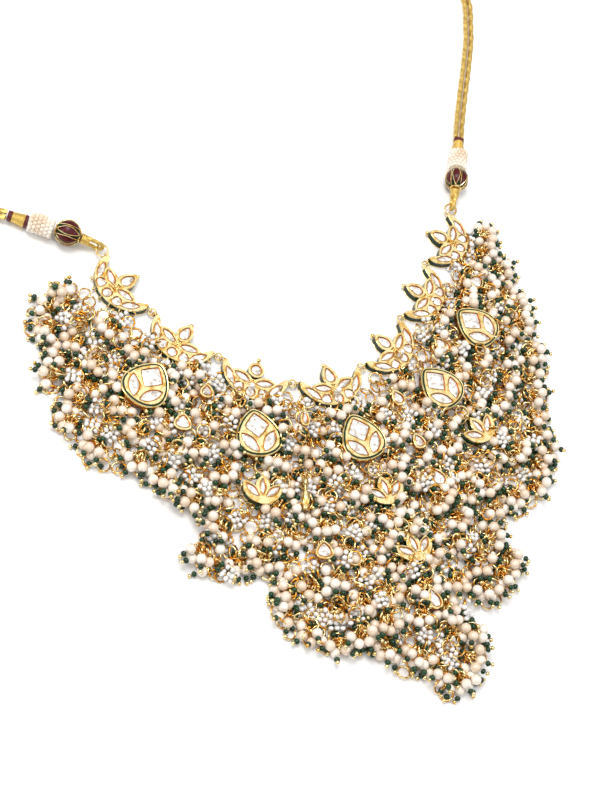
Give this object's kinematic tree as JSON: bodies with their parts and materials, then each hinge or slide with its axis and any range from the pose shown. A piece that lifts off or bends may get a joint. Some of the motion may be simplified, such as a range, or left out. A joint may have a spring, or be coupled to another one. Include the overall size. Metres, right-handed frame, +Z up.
{
  "type": "kundan bib necklace",
  "caption": "Bib necklace with crescent kundan plaques, pear and lotus pendants, a dense pearl tassel fringe and a gold dori cord, laid flat.",
  "frame": {"origin": "centre of the bounding box of the jewel without its cord, on the table plane it rests on", "axes": "+Z up from the table; +Y from the tip of the fringe to the neck opening; +X to the wearer's left"},
  "size_m": [0.26, 0.3383, 0.01],
  "materials": {
    "gold": "polished gold plate",
    "pearl": "glossy cream glass pearl",
    "seed": "satin white seed bead",
    "enamel": "glossy enamel",
    "thread": "metallic gold thread"
  },
  "bodies": {
    "root": {"crescent_1": "gold", "crescent_2": "gold", "crescent_3": "gold", "crescent_4": "gold", "crescent_5": "gold", "crescent_6": "gold", "crescent_7": "gold", "link_1": "gold", "link_2": "gold", "link_3": "gold", "link_4": "gold", "link_5": "gold", "link_6": "gold", "pear_1": "gold", "pear_ring_1": "gold", "pear_2": "gold", "pear_ring_2": "gold", "pear_3": "gold", "pear_ring_3": "gold", "pear_4": "gold", "pear_ring_4": "gold", "pear_5": "gold", "pear_ring_5": "gold", "lotus_1": "gold", "lotus_ring_1": "gold", "lotus_2": "gold", "lotus_ring_2": "gold", "lotus_3": "gold", "lotus_ring_3": "gold", "lotus_4": "gold", "lotus_ring_4": "gold", "drop_1": "gold", "drop_2": "gold", "drop_3": "gold", "drop_4": "gold", "drop_5": "gold", "drop_6": "gold", "fringe_1": "pearl", "fringe_2": "pearl", "fringe_3": "pearl", "fringe_4": "pearl", "fringe_5": "pearl", "fringe_6": "pearl", "fringe_7": "pearl", "fringe_8": "pearl", "fringe_9": "pearl", "end_ring_left": "gold", "cord_loop_left": "thread", "enamel_bead_left": "enamel", "pearl_sleeve_left": "seed", "ferrule_left": "thread", "end_ring_right": "gold", "cord_loop_right": "thread", "enamel_bead_right": "enamel", "pearl_sleeve_right": "seed", "ferrule_right": "thread", "dori_strand_inner": "thread", "dori_strand_outer": "thread", "dori_slider": "thread"}
  },
  "joints": []
}
